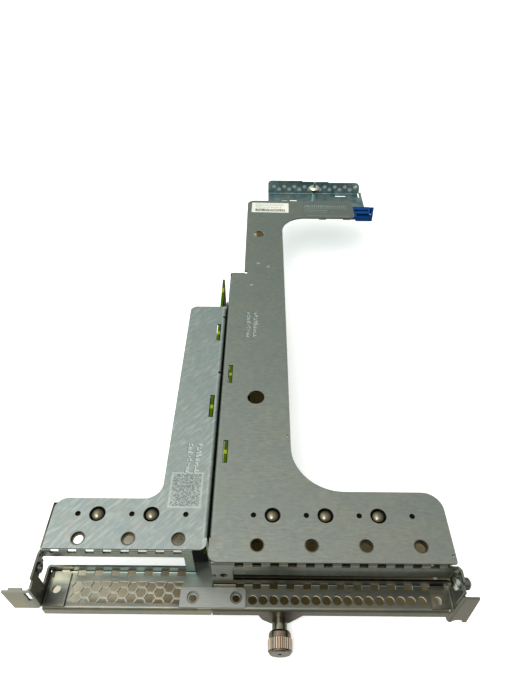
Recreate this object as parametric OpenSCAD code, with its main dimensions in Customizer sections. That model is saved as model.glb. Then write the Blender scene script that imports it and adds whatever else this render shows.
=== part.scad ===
// Riser cage bracket of a one-unit server. Two flat top sheets lie over folded rear brackets,
// which hold the card slots and a perforated shelf. A riser board stands under each sheet.
// A long arm reaches forward to a tray with a sprung captive screw and a touch handle.
// X runs along the slots, Y runs into the server and Z is up. The origin is midway between
// the side walls, on the outer face of the right slot wall, at the cage's lowest edge.

/* [Sheet metal] */
// Thickness of the folded sheets
sheet_t = 1; // [0.8:0.1:1.2]
// Inner radius of the bends
bend_r = 0.6; // [0.4:0.1:0.9]
// Height of the top surface above the lowest edge
top_z = 42; // [41:0.5:46]
// Distance from the middle to the outer face of each side wall
wall_x = 97; // [96.5:0.5:104]

/* [Right top sheet] */
// Left edge of the wide column
column_l = -18.4; // [-19:0.1:-18]
// Right edge of the column
column_r = 21.3; // [18:0.5:30]
// Left edge of the narrow upper column
upper_l = -8.2; // [-12:0.1:-6]
// Where the column narrows
step_y = 217.2; // [215:1:250]
// Front edge of the right sheet
right_front = 0.8; // [0.6:0.1:1.2]
// Far edge of the right wing
right_wing_y = 36.6; // [34:0.2:44]
// Right edge of the right wing
right_wing_x = 94.9; // [90:0.1:95.5]
// Near edge of the arm, from which the tray and its screw keep their distance
arm_near = 295.2; // [292:1:330]
// Width of the arm
arm_w = 28.1; // [24:0.1:40]
// Right end of the arm
arm_r = 83.3; // [70:0.1:92]

/* [Left top sheet] */
// Right edge of the left sheet
left_inner = -19.5; // [-20:0.1:-19.3]
// Left edge of the left column
left_column = -43.6; // [-60:0.2:-42]
// Far edge of the left sheet
left_far = 178.2; // [176:1:200]
// Far edge of the left wing
left_wing_y = 32; // [31:0.2:44]
// Left edge of the left wing
left_wing_x = -94.9; // [-95.5:0.1:-90]

/* [Slot walls and shelf] */
// Outer face of the left slot wall
left_face = 5.6; // [4:0.2:8]
// Drop from the top surface to the shelf
shelf_drop = 23.5; // [23:0.5:26]
// Front face of the lip and of both ears
lip_y = -12; // [-14:0.2:-11.5]
// Drop from the top surface to the lower edge of the lip
lip_drop = 29.8; // [28:0.2:32]
// Drop from the top surface to the upper edge of the slot windows
window_drop = 6.9; // [6.6:0.1:8]
// Height of the slot windows
window_h = 11.5; // [10:0.5:12.5]
// Inner end of the left window
left_window_end = -30.2; // [-34:0.2:-29]
// Inner end of the right window
right_window_end = -7.2; // [-8:0.2:-2]
// Width of a contact slot
finger_w = 4; // [3:0.1:5]
// Spacing of the contact slots
finger_pitch = 8.1; // [7.6:0.1:8.2]

/* [Perforation] */
// Spacing of the honeycomb columns
hex_pitch = 4.4; // [4:0.1:4.5]
// Metal left between two honeycomb cells
hex_web = 0.7; // [0.5:0.1:1.2]
// Spacing of the round vents
vent_pitch = 5; // [4.6:0.1:5.1]
// Diameter of a round vent
vent_d = 4.3; // [3:0.1:4.4]

/* [Holes in the wings] */
// Diameter of the clearance hole round a domed stud
stud_hole_d = 7.8; // [7.4:0.1:9]
// Diameter of the head of a domed stud
stud_d = 6.8; // [5:0.1:7]
// Diameter of the holes beside the front edge
front_hole_d = 6; // [5.6:0.1:7]
// Diameter of the lower holes under them
under_hole_d = 4.6; // [3:0.1:5.2]
// Diameter of the small pilot holes
pilot_d = 2.7; // [2:0.1:3.4]

/* [Riser boards] */
// Thickness of a riser board
board_t = 1.6; // [1.2:0.1:2]
// Gap from the left sheet's flange to its board
left_standoff = 1.8; // [1.4:0.1:2.4]
// Gap from the right sheet's flange to its board
right_standoff = 3; // [2:0.1:3.4]
// Drop from the top surface to the lower edge of the boards
board_drop = 38; // [36:0.5:40]

/* [Thumbscrew] */
// Distance of the thumbscrew from the middle
screw_x = 15; // [12:0.5:20]
// Radius of the tab round the thumbscrew, which is its height above the lowest edge
screw_z = 6.5; // [6:0.1:7.5]
// Outer radius of the ferrule
ferrule_r = 3.6; // [3.4:0.1:4]
// Length of the ferrule in front of the tab
ferrule_l = 5.8; // [5:0.1:8]
// Radius of the thread at the tip of the thumbscrew
thread_r = 1.95; // [1.8:0.05:2.2]
// Radius of the neck that runs in the ferrule
shank_r = 1.6; // [1.3:0.05:1.7]
// Radius of the knob
knob_r = 5.8; // [5.5:0.1:6.5]
// Length of the knob
knob_l = 9.6; // [9.4:0.1:12]

/* [Far tray] */
// Drop from the top surface to the floor of the tray
tray_drop = 12; // [11:0.5:15]
// Depth of the tray between its near and far walls
tray_depth = 43; // [41:0.5:56]
// Left edge of the tray
tray_l = 10; // [4:0.5:14]
// Right edge of the tray
tray_r = 98; // [96:0.5:99]
// Distance of the tray screw from the middle
pin_x = 51.3; // [46:0.1:56]
// Distance of the tray screw from the tray's near wall
pin_in = 24; // [20:0.5:28]
// Radius of the thread at the tip of the tray screw
pin_thread_r = 1.9; // [1.8:0.05:2.1]
// Radius of the tray screw's shaft
pin_r = 1.6; // [1.3:0.05:1.7]
// Radius of the tray screw's head
pin_head_r = 4.8; // [4:0.1:6]
// Travel of the tray screw
pin_travel = 9; // [6:0.1:9]
// Right end of the touch handle
handle_r = 102.6; // [101:0.1:106]

/* [Hidden] */
$fn = 48;
eps = 0.01;
cut = 1;
fit = 0.05;
clear = 0.3;

bend_o = bend_r + sheet_t;
under_z = top_z - sheet_t;
shelf_z = top_z - shelf_drop;
lip_z = top_z - lip_drop;
window_top = top_z - window_drop;
arm_far = arm_near + arm_w;
steel = [0.68, 0.70, 0.69];

stud_y = 23.7;
right_stud_x = [11.2, 36.7, 62.2];
left_stud_x = [-73.2, -47.2];
right_pilot_x = [2, 27.5, 53, 78.5];
left_pilot_x = [-82.6, -56.6, -30.6];
right_hole_x = [3.9, 29.2, 54.5, 79.8];
left_hole_x = [-79.6, -56.2, -32.8];
right_hole_y = 8.8;
left_hole_y = 11.4;
bracket_depth = 30;
head_r = 2.9;
tab_screw_drop = 6.6;
tab_screw_lead = 5.4;
tab_screw_r = 1.5;

// ---- flat outlines ----

// The three-sided piece between a corner and the arc that rounds it. Added, it fills
// an inner corner, and taken away, it rounds an outer one. sx and sy point into the arc.
module spandrel(at, sx, sy, r) {
    translate(at)
        mirror([sx < 0 ? 1 : 0, 0, 0])
            mirror([0, sy < 0 ? 1 : 0, 0])
                difference() {
                    translate([-eps, -eps]) square(r + eps);
                    translate([r, r]) circle(r);
                }
}

// A quarter of a ring, in the quadrant that qx and qy point to.
module quarter_ring(ri, ro, qx, qy) {
    intersection() {
        difference() {
            circle(ro);
            circle(ri);
        }
        translate([qx > 0 ? 0 : -ro, qy > 0 ? 0 : -ro]) square(ro);
    }
}

module box(x0, x1, y0, y1, z0, z1) {
    translate([x0, y0, z0]) cube([x1 - x0, y1 - y0, z1 - z0]);
}

// Extrudes a profile drawn in Y and Z along X.
module along_x(x0, x1) {
    translate([x0, 0, 0]) rotate([90, 0, 90]) linear_extrude(x1 - x0) children();
}

// Extrudes a profile drawn in X and Z along Y.
module along_y(y0, y1) {
    translate([0, y1, 0]) rotate([90, 0, 0]) linear_extrude(y1 - y0) children();
}

module pin_along_x(x0, x1, y, z, r) {
    translate([x0, y, z]) rotate([0, 90, 0]) cylinder(h = x1 - x0, r = r);
}

module pin_along_y(x, y0, y1, z, r) {
    translate([x, y1, z]) rotate([90, 0, 0]) cylinder(h = y1 - y0, r = r);
}

module drill(x, y, d, z0 = top_z - 3 * sheet_t) {
    translate([x, y, z0]) cylinder(h = top_z + cut - z0, d = d);
}

// ---- top sheets ----

wing_fillet = 26;
arm_fillet = 19.5;
wing_round = 9.5;

module right_outline() {
    difference() {
        union() {
            translate([column_l, right_front])
                square([right_wing_x - column_l, right_wing_y - right_front]);
            translate([column_l, right_front])
                square([column_r - column_l, step_y - right_front]);
            translate([upper_l, right_front])
                square([column_r - upper_l, arm_far - right_front]);
            translate([upper_l, arm_near]) square([arm_r - upper_l, arm_w]);
            spandrel([column_r, right_wing_y], 1, 1, wing_fillet);
            spandrel([column_r, arm_near], 1, -1, arm_fillet);
        }
        spandrel([column_l, right_front], 1, 1, 4);
        spandrel([right_wing_x, right_front], -1, 1, 0.8);
        spandrel([right_wing_x, right_wing_y], -1, -1, wing_round);
        spandrel([column_l, step_y], 1, -1, 1.5);
        spandrel([upper_l, arm_far], 1, -1, 6);
        spandrel([arm_r, arm_far], -1, -1, 2);
        spandrel([arm_r, arm_near], -1, 1, 5.5);
        translate([upper_l + 1, step_y + 0.6]) circle(1.4);
    }
}

module left_outline() {
    difference() {
        union() {
            translate([left_wing_x, left_face + right_front])
                square([left_inner - left_wing_x, left_wing_y - left_face - right_front]);
            translate([left_column, left_face + right_front])
                square([left_inner - left_column, left_far - left_face - right_front]);
            spandrel([left_column, left_wing_y], -1, 1, 8.5);
        }
        spandrel([left_inner, left_face + right_front], -1, 1, 3.2);
        spandrel([left_wing_x, left_wing_y], 1, -1, 6);
        spandrel([left_column, left_far], 1, -1, 4.5);
    }
}

// Slots in which the boards' tongues stand: [board middle, near end, far end].
tongue_slot_w = 2.6;
left_board_x = left_inner - sheet_t - left_standoff - board_t / 2;
right_board_x = column_l + sheet_t + right_standoff + board_t / 2;
left_tongues = [[82.6, 98.7], [144.5, 160.3]];
right_tongues = [[52.7, 67.1], [108.1, 122.9]];

module tongue_slots(board_x, spans) {
    for (s = spans)
        box(board_x - tongue_slot_w / 2, board_x + tongue_slot_w / 2, s[0], s[1],
            under_z - cut, top_z + cut);
}

// The rolled edge from a sheet into a flange that hangs from it. side points outwards.
module edge_bend(edge_x, side, y0, y1) {
    along_y(y0, y1)
        translate([edge_x - side * bend_o, top_z - bend_o])
            quarter_ring(bend_r, bend_o, side, 1);
}

flange_drop = 33;
left_flange = [12, 176];
right_flange = [12, 214];
relief_w = 1.4;

// A hanging flange with its outer face at edge_x, for a profile drawn in Y and Z.
module flange_plate(edge_x, side) {
    along_x(side > 0 ? edge_x - sheet_t : edge_x, side > 0 ? edge_x : edge_x + sheet_t)
        children();
}

lances = [[-2.6, 203.5], [2, 229.8], [9.5, 225.6]];
lance_w = 2.4;
lance_gap = 1;
lance_rise = 0.6;

module right_top_sheet() {
    color(steel)
        difference() {
            union() {
                // The lip of a lance rises towards its opening.
                for (p = lances)
                    along_x(p[0] - lance_w / 2, p[0] + lance_w / 2) polygon([
                        [p[1] - 3 * lance_rise, top_z - eps], [p[1], top_z - eps],
                        [p[1], top_z + lance_rise]]);
                difference() {
                    translate([0, 0, under_z]) linear_extrude(sheet_t) right_outline();
                    box(column_l - cut, column_l + bend_o, right_flange[0], right_flange[1],
                        under_z - cut, top_z + cut);
                }
                edge_bend(column_l, -1, right_flange[0], right_flange[1]);
                flange_plate(column_l, -1)
                    translate([right_flange[0], top_z - flange_drop])
                        square([right_flange[1] - right_flange[0], flange_drop - bend_o]);
            }
            for (x = right_stud_x) drill(x, stud_y, stud_hole_d, under_z - cut);
            for (x = right_pilot_x) drill(x, stud_y, pilot_d, under_z - cut);
            for (x = right_hole_x) drill(x, right_hole_y, front_hole_d, under_z - cut);
            for (p = lances)
                box(p[0] - lance_w / 2, p[0] + lance_w / 2, p[1], p[1] + lance_gap,
                    under_z - cut, top_z + cut);
            tongue_slots(right_board_x, right_tongues);
            drill(2.1, 97.4, 10, under_z - cut);
            drill(2.2, arm_near - 25.6, 8.4, under_z - cut);
            for (p = [[93.7, 4.6], [19.5, 70.4]])
                drill(p[0], p[1], 1.1, under_z - cut);
        }
}

module left_top_sheet() {
    skirt_top = top_z - 3;
    color(steel)
        difference() {
            union() {
                difference() {
                    translate([0, 0, under_z]) linear_extrude(sheet_t) left_outline();
                    box(left_inner - bend_o, left_inner + cut, left_flange[0], left_flange[1],
                        under_z - cut, top_z + cut);
                }
                edge_bend(left_inner, 1, left_flange[0], left_flange[1]);
                // The flange runs on past the sheet and slopes down to its end.
                flange_plate(left_inner, 1) polygon([
                    [left_flange[0], top_z - flange_drop], [left_flange[0], top_z - bend_o],
                    [left_flange[1], top_z - bend_o], [left_flange[1] + 2, skirt_top],
                    [left_far + 17, skirt_top - 7], [left_far + 17, top_z - flange_drop]]);
            }
            for (x = left_stud_x) drill(x, stud_y, stud_hole_d, under_z - cut);
            for (x = left_pilot_x) drill(x, stud_y, pilot_d, under_z - cut);
            for (x = left_hole_x) drill(x, left_hole_y, front_hole_d, under_z - cut);
            tongue_slots(left_board_x, left_tongues);
            for (y = [117, 167.4])
                box(left_inner - bend_o, left_inner + cut, y - relief_w / 2, y + relief_w / 2,
                    top_z - 2 * bend_o, top_z + cut);
        }
}

// ---- rear brackets ----

// The folded section in Y and Z: flange under the sheet, slot wall, shelf and lip.
module shelf_section(back_y) {
    translate([lip_y, lip_z]) square([sheet_t, shelf_z - bend_o - lip_z]);
    translate([lip_y + bend_o, shelf_z - bend_o]) quarter_ring(bend_r, bend_o, -1, 1);
    translate([lip_y + bend_o, shelf_z - sheet_t])
        square([back_y - lip_y - bend_o, sheet_t]);
}

module bracket_section(face_y) {
    shelf_section(face_y - bend_r);
    translate([face_y - bend_r, shelf_z + bend_r]) quarter_ring(bend_r, bend_o, 1, -1);
    translate([face_y, shelf_z + bend_r])
        square([sheet_t, under_z - bend_o - shelf_z - bend_r]);
    translate([face_y + bend_o, under_z - bend_o]) quarter_ring(bend_r, bend_o, -1, 1);
    translate([face_y + bend_o, under_z - sheet_t])
        square([bracket_depth - face_y - bend_o, sheet_t]);
}

wall_top = top_z - 2.2;
wall_step_y = -6.5;
wall_step = 2.2;
wall_leg = 2.4;
lip_end = wall_x - 3;

// Plan of the end of the slot wall, the side wall and the ear, for the right-hand side.
module wall_plan(face_y, corner_r, ear_reach) {
    ear_back = lip_y + sheet_t;
    translate([lip_end - 2, face_y]) square([wall_x - corner_r - lip_end + 2, sheet_t]);
    translate([wall_x - corner_r, face_y + sheet_t - corner_r])
        quarter_ring(corner_r - sheet_t, corner_r, 1, 1);
    translate([wall_x - sheet_t, ear_back + bend_r])
        square([sheet_t, face_y + sheet_t - corner_r - ear_back - bend_r]);
    translate([wall_x + bend_r, ear_back + bend_r]) quarter_ring(bend_r, bend_o, -1, -1);
    translate([wall_x + bend_r, lip_y]) square([ear_reach - bend_r, sheet_t]);
}

flange_front = lip_y + 1;
wall_flange_w = 11;
flange_hole_d = 4;

// A side wall with its ear and the flange that lies on the shelf, on the right-hand side.
module side_wall(face_y, corner_r, ear_reach, ear_top, ear_bottom) {
    fold_z = shelf_z + sheet_t + bend_r;
    ear_back = lip_y + bend_o + eps;
    intersection() {
        translate([0, 0, ear_bottom])
            linear_extrude(wall_top - ear_bottom) wall_plan(face_y, corner_r, ear_reach);
        along_x(lip_end - 3, wall_x + ear_reach + cut) polygon([
            [face_y + sheet_t + cut, fold_z], [face_y + sheet_t + cut, wall_top + cut],
            [wall_step_y, wall_top + cut], [wall_step_y, wall_top - wall_step],
            [ear_back, wall_top - wall_step], [ear_back, ear_top], [lip_y - cut, ear_top],
            [lip_y - cut, ear_bottom - cut], [lip_y + wall_leg, ear_bottom - cut],
            [lip_y + wall_leg, fold_z]]);
    }
    along_y(flange_front, face_y - 1) {
        translate([wall_x - bend_o, fold_z]) quarter_ring(bend_r, bend_o, 1, -1);
        translate([wall_x - wall_flange_w, shelf_z]) square([wall_flange_w - bend_o, sheet_t]);
    }
}

// Cut-outs that follow the two bends of a slot wall.
module finger_slots(face_y, x0, count) {
    for (i = [0 : count - 1]) {
        x = x0 + i * finger_pitch;
        box(x, x + finger_w, face_y - cut, face_y + 2.4, top_z - 3.4, top_z);
        box(x, x + finger_w, face_y - 2.1, face_y + sheet_t + cut,
            shelf_z - sheet_t - cut, shelf_z + 0.8);
    }
}

module window(x0, x1, face_y) {
    box(x0, x1, face_y - 0.8, face_y + sheet_t + cut, window_top - window_h, window_top);
}

// Outline of the tab that carries the thumbscrew, drawn in X and Z.
module tab_outline() {
    translate([screw_x, screw_z]) circle(screw_z);
    polygon([[screw_x - 10.2, lip_z + eps], [screw_x - 8.3, lip_z - 6],
        [screw_x - 4.6, screw_z - 4.6], [screw_x + 4.6, screw_z - 4.6],
        [screw_x + 8, lip_z - 5], [screw_x + 11, lip_z + eps]]);
}

ferrule_neck_r = ferrule_r - 0.8;
right_bracket_l = -16.9;
vent_y = -7.2;
first_vent = 2;
vent_count = 17;
right_ear_bottom = top_z - 36.9;
right_ear_top = top_z - 7;
right_ear_reach = 8.4;
right_ear_taper = 2.1;
ear_notch_r = 2.7;
right_corner_r = 3;

module right_rear_bracket() {
    color(steel)
        difference() {
            union() {
                along_x(right_bracket_l, lip_end) bracket_section(0);
                side_wall(0, right_corner_r, right_ear_reach, right_ear_top, right_ear_bottom);
                along_y(lip_y, lip_y + sheet_t) tab_outline();
            }
            finger_slots(0, -6.2, 12);
            box(lip_end - 3.5, lip_end + cut, -cut, 2.4, top_z - 3, wall_top + cut);
            window(right_window_end, wall_x + cut, 0);
            box(wall_x - right_corner_r, wall_x + cut, sheet_t - right_corner_r - eps, cut,
                window_top - window_h, window_top);
            // The ear is narrower at its top, and notched at its lower end.
            along_y(lip_y - cut, lip_y + 2 * sheet_t) {
                polygon([[wall_x + right_ear_reach - right_ear_taper, right_ear_top + cut],
                    [wall_x + right_ear_reach + cut, right_ear_top + cut],
                    [wall_x + right_ear_reach + cut, right_ear_bottom - cut],
                    [wall_x + right_ear_reach, right_ear_bottom - cut],
                    [wall_x + right_ear_reach - right_ear_taper, right_ear_top]]);
                translate([wall_x + ear_notch_r + 1, right_ear_bottom + 0.4]) circle(ear_notch_r);
            }
            for (i = [0 : vent_count - 1])
                translate([first_vent + i * vent_pitch, vent_y, shelf_z - 2 * sheet_t])
                    cylinder(h = 3 * sheet_t, d = vent_d);
            for (x = right_stud_x) drill(x, stud_y, 3.2);
            for (x = right_hole_x) drill(x, right_hole_y, under_hole_d);
            pin_along_y(-11.6, -cut, 2 * sheet_t, top_z - 13, 1.95);
            pin_along_y(right_bracket_l, -cut, 2 * sheet_t, top_z - 13.5, 1.9);
            pin_along_y(screw_x, lip_y - cut, lip_y + 2 * sheet_t, screw_z, ferrule_neck_r);
            pin_along_x(wall_x - 2 * sheet_t, wall_x + cut, -tab_screw_lead,
                top_z - tab_screw_drop, tab_screw_r + fit);
            translate([wall_x - 7.5, -7.2, shelf_z - 2 * sheet_t])
                cylinder(h = 4 * sheet_t, d = flange_hole_d);
            splice_holes();
        }
}

hex_columns = 12;
hex_row = hex_pitch / cos(30);
hex_near = -9.2;
hex_far = 1;
first_hex = -82;

module honeycomb() {
    intersection() {
        for (c = [0 : hex_columns - 1], r = [0 : 2]) {
            y = hex_near + (r + (c % 2 == 0 ? 0.5 : 0)) * hex_row;
            translate([first_hex + c * hex_pitch, y, shelf_z - 2 * sheet_t])
                cylinder(h = 4 * sheet_t, r = (hex_row - hex_web) / 2 / cos(30), $fn = 6);
        }
        box(first_hex - hex_pitch, first_hex + hex_columns * hex_pitch, hex_near, hex_far,
            shelf_z - 2 * sheet_t, shelf_z + 2 * sheet_t);
    }
}

left_bracket_r = -26;
left_shelf_r = -17.4;
left_shelf_reach = 5;
left_ear_reach = 11.3;
left_ear_top = top_z - 3.6;
left_ear_bottom = top_z - 22.6;
ear_slot_drop = [1, 9.8];
ear_tab_in = 2.6;
left_lip_end = wall_x - 0.8;

module left_rear_bracket() {
    fold_x = wall_x - bend_o;
    color(steel)
        difference() {
            union() {
                along_x(-left_lip_end, left_bracket_r) bracket_section(left_face);
                along_x(left_bracket_r - cut, left_shelf_r)
                    shelf_section(left_face + left_shelf_reach);
                mirror([1, 0, 0])
                    side_wall(left_face, bend_o, left_ear_reach, left_ear_top, left_ear_bottom);
                box(-wall_x - left_ear_reach + ear_tab_in, -wall_x - ear_tab_in, lip_y,
                    lip_y + 2 * sheet_t, left_ear_top - sheet_t, left_ear_top);
            }
            finger_slots(left_face, -91.5, 8);
            window(-wall_x - cut, left_window_end, left_face);
            // The window runs on round the corner, under the strip of the clinch nut.
            box(-wall_x - cut, -fold_x, left_face - 8.6, left_face + 2 * sheet_t,
                window_top - window_h, top_z - 9.2);
            honeycomb();
            for (x = left_stud_x) drill(x, stud_y, 3.2);
            for (x = left_hole_x) drill(x, left_hole_y, under_hole_d);
            pin_along_x(-wall_x - cut, -wall_x + 2 * sheet_t, left_face - tab_screw_lead,
                top_z - tab_screw_drop, tab_screw_r + 0.6);
            translate([-wall_x + 5.6, -3.2, shelf_z - 2 * sheet_t])
                cylinder(h = 4 * sheet_t, d = flange_hole_d);
            box(-wall_x + 2.4, -wall_x + 3, 2, left_face, shelf_z + eps, shelf_z + 2 * sheet_t);
            box(-wall_x - 1.8, -wall_x + 0.3, lip_y - cut, lip_y + 1.4,
                left_ear_top - ear_slot_drop[1], left_ear_top - ear_slot_drop[0]);
            splice_holes();
        }
}

// ---- small parts of the rear ----

splice = [[-32.3, -1.3], [-11, -1.9]];
splice_t = 0.8;
splice_hole_x = [-26.2, -5.8];
splice_hole_y = -6.5;

module splice_holes() {
    for (x = splice_hole_x)
        translate([x, splice_hole_y, shelf_z - 2 * sheet_t]) cylinder(h = 3 * sheet_t, d = 3.6);
}

module splice_plate() {
    x = splice[0];
    y = splice[1];
    color(steel)
        translate([0, 0, shelf_z])
            linear_extrude(splice_t)
                difference() {
                    translate([x[0], y[0]]) square([x[1] - x[0], y[1] - y[0]]);
                    spandrel([x[1], y[1]], -1, -1, 1.6);
                    spandrel([x[1], y[0]], -1, 1, 0.8);
                    for (hx = splice_hole_x) translate([hx, splice_hole_y]) circle(d = 5.8);
                }
}

// Domed head on a short shank that is clinched in the bracket under the sheet.
stud_rise = 0.9;

module domed_stud() {
    r = stud_d / 2;
    head_h = sheet_t + stud_rise;
    dome_r = (r * r + head_h * head_h) / (2 * head_h);
    intersection() {
        translate([0, 0, head_h - dome_r]) sphere(dome_r);
        cylinder(h = head_h + cut, r = r);
    }
    translate([0, 0, -sheet_t]) cylinder(h = sheet_t + eps, d = 3.2);
}

module domed_studs() {
    color([0.80, 0.79, 0.74])
        for (x = concat(right_stud_x, left_stud_x))
            translate([x, stud_y, under_z]) domed_stud();
}

blank_t = 0.9;
blank_l = -10;
blank_drop = 5.6;
blank_h = 10.4;
blank_slope = 1.6;
blank_bend = 0.5;
tab_front = -10.6;

// Cover of the unused right slot: a plate behind the window and a tab on the side wall.
module slot_blank() {
    inner = wall_x - sheet_t;
    outer_r = blank_bend + blank_t;
    screw_top = top_z - tab_screw_drop;
    plate_z = top_z - blank_drop - blank_h;
    color([0.60, 0.62, 0.61])
        difference() {
            union() {
                // The plate hangs a little lower at its tab, where its screw pulls it down.
                along_y(sheet_t, sheet_t + blank_t) polygon([
                    [blank_l, plate_z + blank_slope], [inner - outer_r - 2, plate_z],
                    [inner - outer_r - 2, plate_z + blank_h - blank_slope],
                    [blank_l, plate_z + blank_h]]);
                translate([0, 0, plate_z])
                    linear_extrude(window_top - clear - plate_z) {
                        translate([inner - outer_r - 3, sheet_t]) square([3, blank_t]);
                        translate([inner - outer_r, sheet_t - blank_bend])
                            quarter_ring(blank_bend, outer_r, 1, 1);
                        translate([inner - blank_t, tab_front])
                            square([blank_t, sheet_t - blank_bend - tab_front]);
                    }
                box(inner - blank_t, inner, tab_front, -3, plate_z, screw_top + head_r + 0.4);
            }
            pin_along_x(inner - 2 * blank_t, inner + cut, -tab_screw_lead, screw_top,
                tab_screw_r + fit);
        }
}

// Pan head inside the wall and a plain shank that ends in the dome nut.
module blank_screw() {
    inner = wall_x - sheet_t - blank_t;
    color([0.85, 0.84, 0.80])
        translate([inner, -tab_screw_lead, top_z - tab_screw_drop])
            rotate([0, 90, 0]) {
                difference() {
                    intersection() {
                        translate([0, 0, -2.6]) cylinder(h = 2.6, r = head_r);
                        translate([0, 0, 1.4]) sphere(4.2);
                    }
                    translate([0, 0, -2.6 - cut]) cylinder(h = cut + 1.2, r = 1, $fn = 6);
                }
                translate([0, 0, -eps]) cylinder(h = sheet_t + blank_t + 1.2, r = tab_screw_r);
            }
}

module dome_nut() {
    length = 3.8;
    nut_r = 2.7;
    color([0.45, 0.44, 0.42])
        translate([wall_x, -tab_screw_lead, top_z - tab_screw_drop])
            rotate([0, 90, 0])
                difference() {
                    intersection() {
                        cylinder(h = length, r = nut_r);
                        translate([0, 0, length - 3.2]) sphere(3.2);
                    }
                    translate([0, 0, -eps]) cylinder(h = 1.5, r = tab_screw_r + fit);
                }
}

// Threaded insert in the left side wall, for the screw of a card's bracket.
module clinch_nut() {
    color([0.70, 0.70, 0.68])
        translate([-wall_x, left_face - tab_screw_lead, top_z - tab_screw_drop])
            rotate([0, 90, 0])
                difference() {
                    union() {
                        cylinder(h = sheet_t, r = tab_screw_r + 0.6);
                        translate([0, 0, sheet_t]) cylinder(h = 0.9, r = 2.5);
                    }
                    translate([0, 0, -cut]) cylinder(h = 5, r = tab_screw_r);
                }
}

// ---- riser boards ----

board_top = top_z - 1.7;
tongue_top = top_z - 0.2;
edge_rise = 7.5;
board_green = [0.20, 0.30, 0.06];

module board_plate(board_x, y0, y1, tongues, edge0, edge1) {
    z0 = top_z - board_drop;
    along_x(board_x - board_t / 2, board_x + board_t / 2) {
        difference() {
            translate([y0, z0 + edge_rise]) square([y1 - y0, board_top - z0 - edge_rise]);
            spandrel([y1, z0 + edge_rise], -1, 1, 2);
        }
        translate([edge0, z0]) square([edge1 - edge0, edge_rise + eps]);
        for (s = tongues)
            translate([s[0] + clear, board_top - eps])
                square([s[1] - s[0] - 2 * clear, tongue_top - board_top + eps]);
    }
}

left_board_y = [18, 211];
right_board_y = [34, 208];
left_slot_y = [52, 108];
right_slot_y = [47, 136];

module left_riser_board() {
    color(board_green)
        board_plate(left_board_x, left_board_y[0], left_board_y[1], left_tongues, 118, 204);
}

module right_riser_board() {
    color(board_green)
        board_plate(right_board_x, right_board_y[0], right_board_y[1], right_tongues, 112, 201);
}

connector_h = 11.2;
connector_w = 7.5;
connector_drop = 18;
key_w = 1.8;

// Card slot with its long mouth facing away from the board, side giving the way it faces.
module slot_connector(board_x, side, span) {
    z = top_z - connector_drop;
    x0 = board_x + side * board_t / 2;
    x1 = x0 + side * connector_h;
    color([0.12, 0.12, 0.12])
        difference() {
            box(min(x0, x1), max(x0, x1), span[0], span[1], z - connector_w / 2,
                z + connector_w / 2);
            box(min(x1 - side * 8, x1 + side), max(x1 - side * 8, x1 + side),
                span[0] + 1.5, span[0] + 12.5, z - key_w / 2, z + key_w / 2);
            box(min(x1 - side * 8, x1 + side), max(x1 - side * 8, x1 + side),
                span[0] + 14.3, span[1] - 1.5, z - key_w / 2, z + key_w / 2);
        }
}

module left_slot_connector() slot_connector(left_board_x, -1, left_slot_y);
module right_slot_connector() slot_connector(right_board_x, 1, right_slot_y);

standoff_drop = 29;
standoff_r = 2.6;
left_standoff_y = [24, 112, 170];
right_standoff_y = [40, 142, 200];

module board_standoffs() {
    z = top_z - standoff_drop;
    color([0.72, 0.72, 0.70]) {
        for (y = left_standoff_y)
            pin_along_x(left_inner - sheet_t - left_standoff, left_inner - sheet_t, y, z,
                standoff_r);
        for (y = right_standoff_y)
            pin_along_x(column_l + sheet_t, column_l + sheet_t + right_standoff, y, z,
                standoff_r);
    }
}

module board_screws() {
    z = top_z - standoff_drop;
    color([0.75, 0.75, 0.73]) {
        for (y = left_standoff_y)
            pin_along_x(left_board_x - board_t / 2 - 1.8, left_board_x - board_t / 2, y, z, 2.7);
        for (y = right_standoff_y)
            pin_along_x(right_board_x + board_t / 2, right_board_x + board_t / 2 + 1.8, y, z,
                2.7);
    }
}

// ---- thumbscrew ----

// Turns a profile of radius and depth about the thumbscrew's axis, with depth along -Y.
module on_screw_axis(y) {
    translate([screw_x, y, screw_z]) rotate([90, 0, 0]) rotate_extrude() children();
}

module screw_ferrule() {
    neck_r = ferrule_neck_r - fit;
    bore_r = shank_r + fit;
    color([0.78, 0.77, 0.72])
        on_screw_axis(lip_y + sheet_t) polygon([
            [bore_r, 0], [neck_r, 0], [neck_r, sheet_t], [ferrule_r, sheet_t],
            [ferrule_r, sheet_t + ferrule_l - 0.4], [ferrule_r - 0.4, sheet_t + ferrule_l],
            [bore_r, sheet_t + ferrule_l]]);
}

knob_gap = 5.4;
knob_cup = ferrule_l;
knob_bore = 1.8;
knob_near = lip_y - knob_gap;
knurl_count = 32;
thread_l = 2.1;
thread_lead = 0.3;

// A thin neck in the ferrule, with the thread in front of the tab so that it can't fall out.
module screw_shank() {
    length = clear + sheet_t + thread_l + knob_gap + knob_cup + knob_bore - clear;
    color([0.78, 0.77, 0.72])
        on_screw_axis(lip_y + sheet_t + clear + thread_l) polygon([
            [0, 0], [thread_r - thread_lead, 0], [thread_r, thread_lead],
            [thread_r, thread_l], [shank_r, thread_l], [shank_r, length], [0, length]]);
}

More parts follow.
